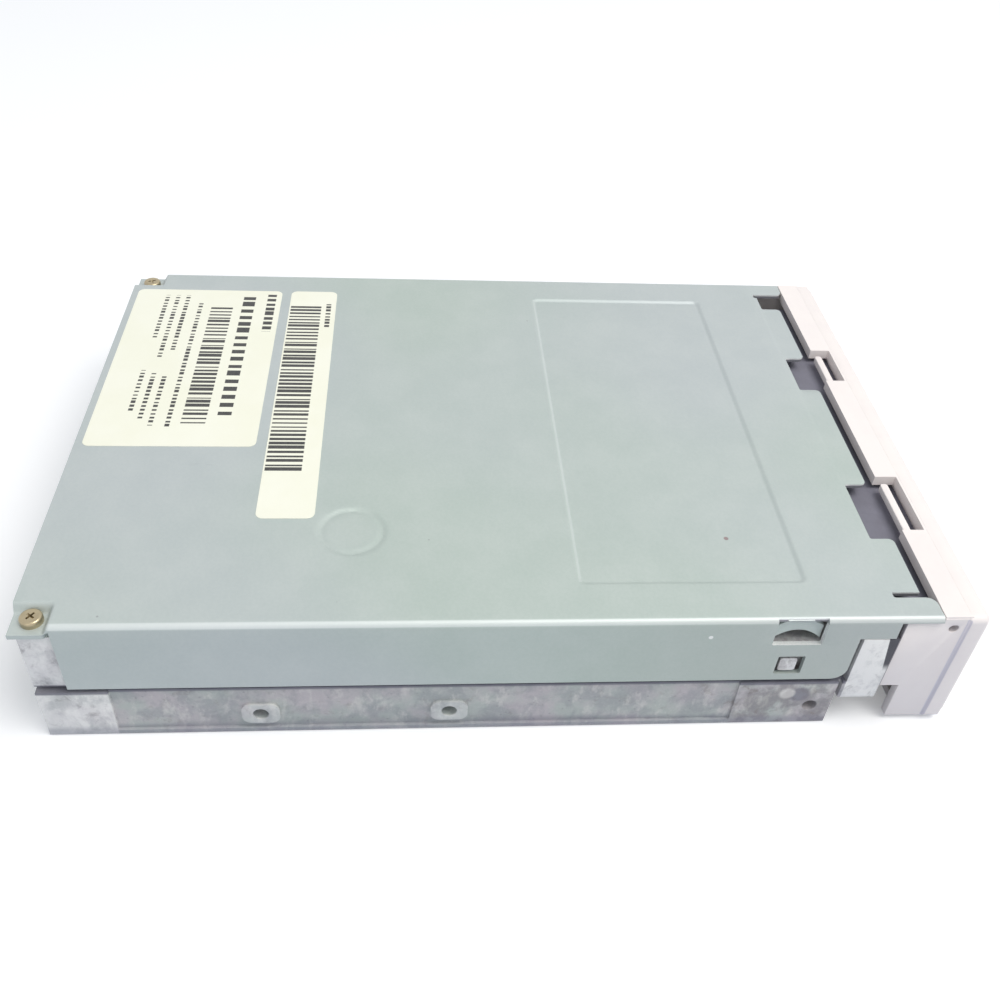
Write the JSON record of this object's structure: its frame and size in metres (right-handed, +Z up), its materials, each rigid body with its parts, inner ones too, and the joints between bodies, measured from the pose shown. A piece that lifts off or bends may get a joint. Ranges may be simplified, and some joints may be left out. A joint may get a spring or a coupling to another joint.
{
  "type": "floppy disk drive",
  "caption": "One-inch-high floppy disk drive with a cast frame, sheet cover, cream front panel, eject button and rear pin headers.",
  "frame": {"origin": "on the underside, below the middle of the drive's whole outline, eject button included", "axes": "+X to the right seen from the front, +Y from the front panel to the connectors, +Z up"},
  "size_m": [0.1016, 0.1496, 0.0255],
  "materials": {
    "casting": "as cast, dull, lightly stained",
    "cover_steel": "plated sheet, satin, scuffed",
    "brassed_steel": "yellow passivated",
    "label_paper": "matt paper, aged cream",
    "front_plastic": "moulded, fine texture",
    "lamp_lens": "clear tinted",
    "tinned_wire": "tinned",
    "spring_steel": "drawn wire",
    "green_board": "lacquered laminate",
    "flat_cable": "flat cable",
    "plated_steel": "zinc plated sheet",
    "bronze": "sintered",
    "core_steel": "stacked laminations",
    "copper_wire": "enamelled copper",
    "black_plastic": "moulded",
    "gold_pins": "gold flashed",
    "white_plastic": "moulded nylon",
    "part_tan": "small board parts",
    "motor_can": "drawn can",
    "ground_steel": "ground and polished",
    "amber_film": "amber film",
    "rotor_steel": "pressed and plated",
    "ferrite": "dark ferrite",
    "machined_metal": "turned",
    "carriage_plastic": "filled plastic",
    "ceramic": "lapped ceramic",
    "arm_metal": "pressed",
    "switch_cream": "moulded"
  },
  "bodies": {
    "drive_body": {"die_cast_frame": "casting", "top_cover": "cover_steel", "cover_screws": "brassed_steel", "large_label": "label_paper", "narrow_label": "label_paper", "front_bezel": "front_plastic", "activity_led": "lamp_lens", "led_leads": "tinned_wire", "door_spring": "spring_steel", "spindle_motor_board": "green_board", "main_circuit_board": "green_board", "board_link_cable": "flat_cable", "inner_screws": "plated_steel", "spindle_bearing": "bronze", "stator_core": "core_steel", "stator_coils": "copper_wire", "index_sensor": "black_plastic", "motor_driver_chip": "black_plastic", "signal_header_block": "black_plastic", "signal_header_pins": "gold_pins", "power_header_block": "white_plastic", "power_header_pins": "tinned_wire", "controller_chip": "black_plastic", "board_components": "part_tan", "cable_sockets": "white_plastic", "stepper_bracket": "plated_steel", "stepper_motor": "motor_can", "stepper_cable": "flat_cable", "screw_end_bearing": "white_plastic", "guide_rods": "ground_steel", "rod_clamps": "plated_steel", "track_zero_sensor": "black_plastic", "sensor_switches": "black_plastic", "head_flex_cable": "amber_film", "slider_springs": "spring_steel"},
    "slider": {"eject_slider": "plated_steel", "eject_button": "front_plastic"},
    "holder": {"disk_holder": "plated_steel", "holder_pins": "ground_steel", "lever_spring": "spring_steel"},
    "lever": {"shutter_lever": "plated_steel"},
    "spindle": {"rotor_cup": "rotor_steel", "rotor_magnet": "ferrite", "hub_table": "machined_metal", "hub_magnet": "ferrite", "drive_pin": "ground_steel", "spindle_shaft": "ground_steel"},
    "carriage": {"head_carriage": "carriage_plastic", "lower_head": "ceramic", "screw_follower": "spring_steel", "arm_hinge_pin": "ground_steel", "arm_spring": "spring_steel"},
    "arm": {"upper_arm": "arm_metal", "upper_head": "ceramic"},
    "lead_screw": {"lead_screw": "ground_steel"},
    "door": {"slot_door": "front_plastic"},
    "protect_switch": {"protect_plunger": "switch_cream"},
    "density_switch": {"density_plunger": "switch_cream"},
    "disk_switch": {"disk_plunger": "switch_cream"}
  },
  "joints": [
    {"name": "slider_slide", "type": "slide", "parent": "drive_body", "child": "slider", "axis": [0, -1, 0], "range_m": [0, 0.006], "deforming": ["slider_springs"]},
    {"name": "holder_drop", "type": "slide", "parent": "drive_body", "child": "holder", "axis": [0, 0, -1], "range_m": [0, 0.0026]},
    {"name": "lever_swing", "type": "hinge", "parent": "holder", "child": "lever", "pos_m": [-0.019, 0.0178, 0.0224], "axis": [0, 0, 1], "range_deg": [-75.2, 0], "stiffness_Nm_per_rad": 0.001},
    {"name": "spindle_spin", "type": "hinge", "parent": "drive_body", "child": "spindle", "pos_m": [0, -0.0277, 0.005], "axis": [0, 0, 1], "continuous": true},
    {"name": "carriage_slide", "type": "slide", "parent": "drive_body", "child": "carriage", "axis": [0, -1, 0], "range_m": [0, 0.0148], "deforming": ["head_flex_cable"]},
    {"name": "lead_screw_turn", "type": "hinge", "parent": "drive_body", "child": "lead_screw", "pos_m": [-0.024, 0.0193, 0.0118], "axis": [0, 1, 0], "range_deg": [0, 1421]},
    {"name": "arm_lowering", "type": "hinge", "parent": "carriage", "child": "arm", "pos_m": [0, 0.0413, 0.0172], "axis": [1, 0, 0], "range_deg": [0, 9]},
    {"name": "door_swing", "type": "hinge", "parent": "drive_body", "child": "door", "pos_m": [0, -0.0724, 0.0206], "axis": [1, 0, 0], "range_deg": [0, 88], "stiffness_Nm_per_rad": 0.0002},
    {"name": "protect_press", "type": "slide", "parent": "drive_body", "child": "protect_switch", "axis": [0, 0, -1], "range_m": [0, 0.0011], "stiffness_N_per_m": 50},
    {"name": "density_press", "type": "slide", "parent": "drive_body", "child": "density_switch", "axis": [0, 0, -1], "range_m": [0, 0.0011], "stiffness_N_per_m": 50},
    {"name": "disk_press", "type": "slide", "parent": "drive_body", "child": "disk_switch", "axis": [0, 0, -1], "range_m": [0, 0.0011], "stiffness_N_per_m": 50}
  ],
  "couplings": [
    {"joint": "holder_drop", "follows": "slider_slide", "ratio": 0.4333},
    {"joint": "arm_lowering", "follows": "slider_slide", "rad_per_m": 26.17},
    {"joint": "lead_screw_turn", "follows": "carriage_slide", "rad_per_m": 1675.5}
  ]
}
